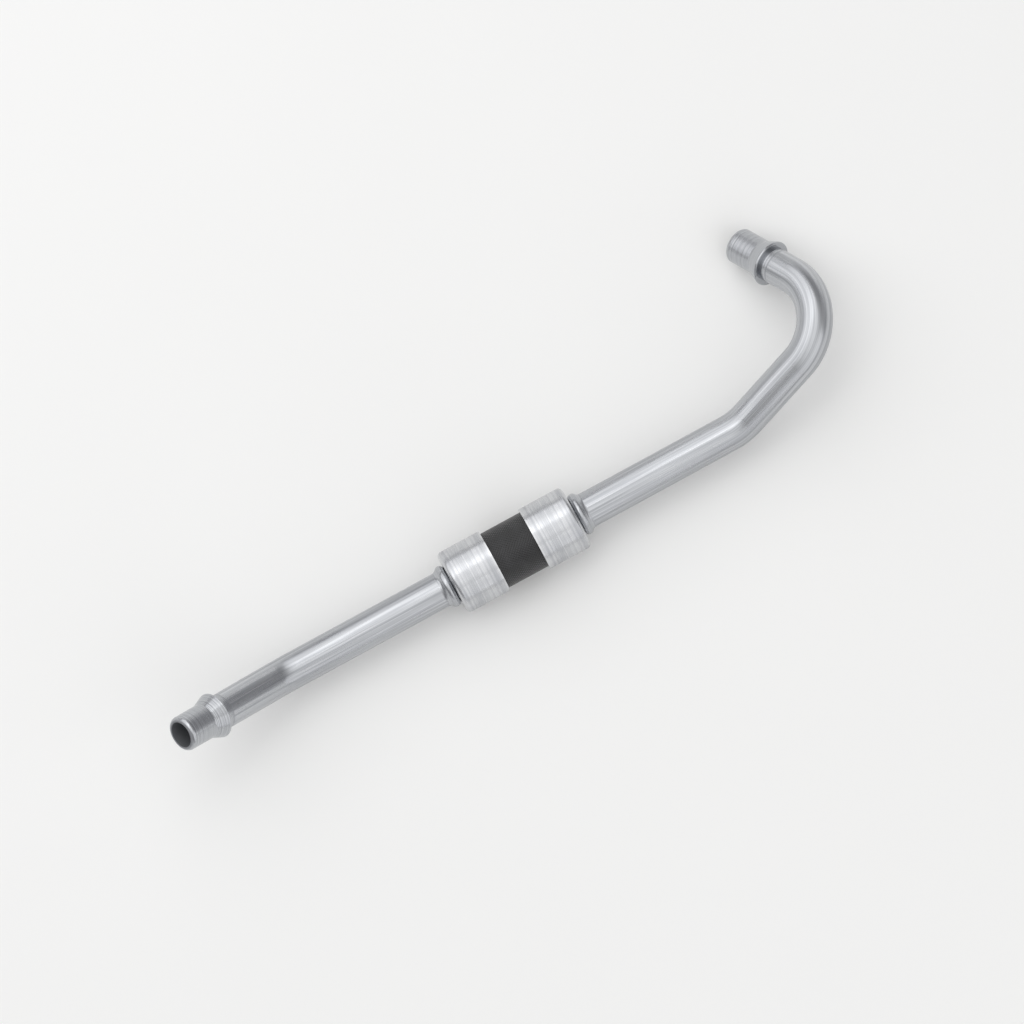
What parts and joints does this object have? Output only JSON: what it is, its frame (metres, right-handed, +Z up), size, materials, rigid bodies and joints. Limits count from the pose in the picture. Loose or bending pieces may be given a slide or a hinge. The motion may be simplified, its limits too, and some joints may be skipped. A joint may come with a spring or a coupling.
{
  "type": "bent tube assembly",
  "caption": "Rigid fluid line: bent metal tubes joined by a short crimped rubber hose, with a ramped quick-connector spigot on each free end.",
  "frame": {"origin": "middle of the inlet spigot's end, on the tube's axis", "axes": "+X along the straight run from the inlet to the outlet, +Z up from the surface that the line lies on"},
  "size_m": [0.258, 0.0683, 0.0413],
  "materials": {
    "tube": "drawn, satin",
    "hose": "matt black",
    "ferrule": "drawn cup, bright satin"
  },
  "bodies": {
    "root": {"inlet_tube": "tube", "outlet_tube": "tube", "hose": "hose", "inlet_ferrule": "ferrule", "outlet_ferrule": "ferrule"}
  },
  "joints": []
}
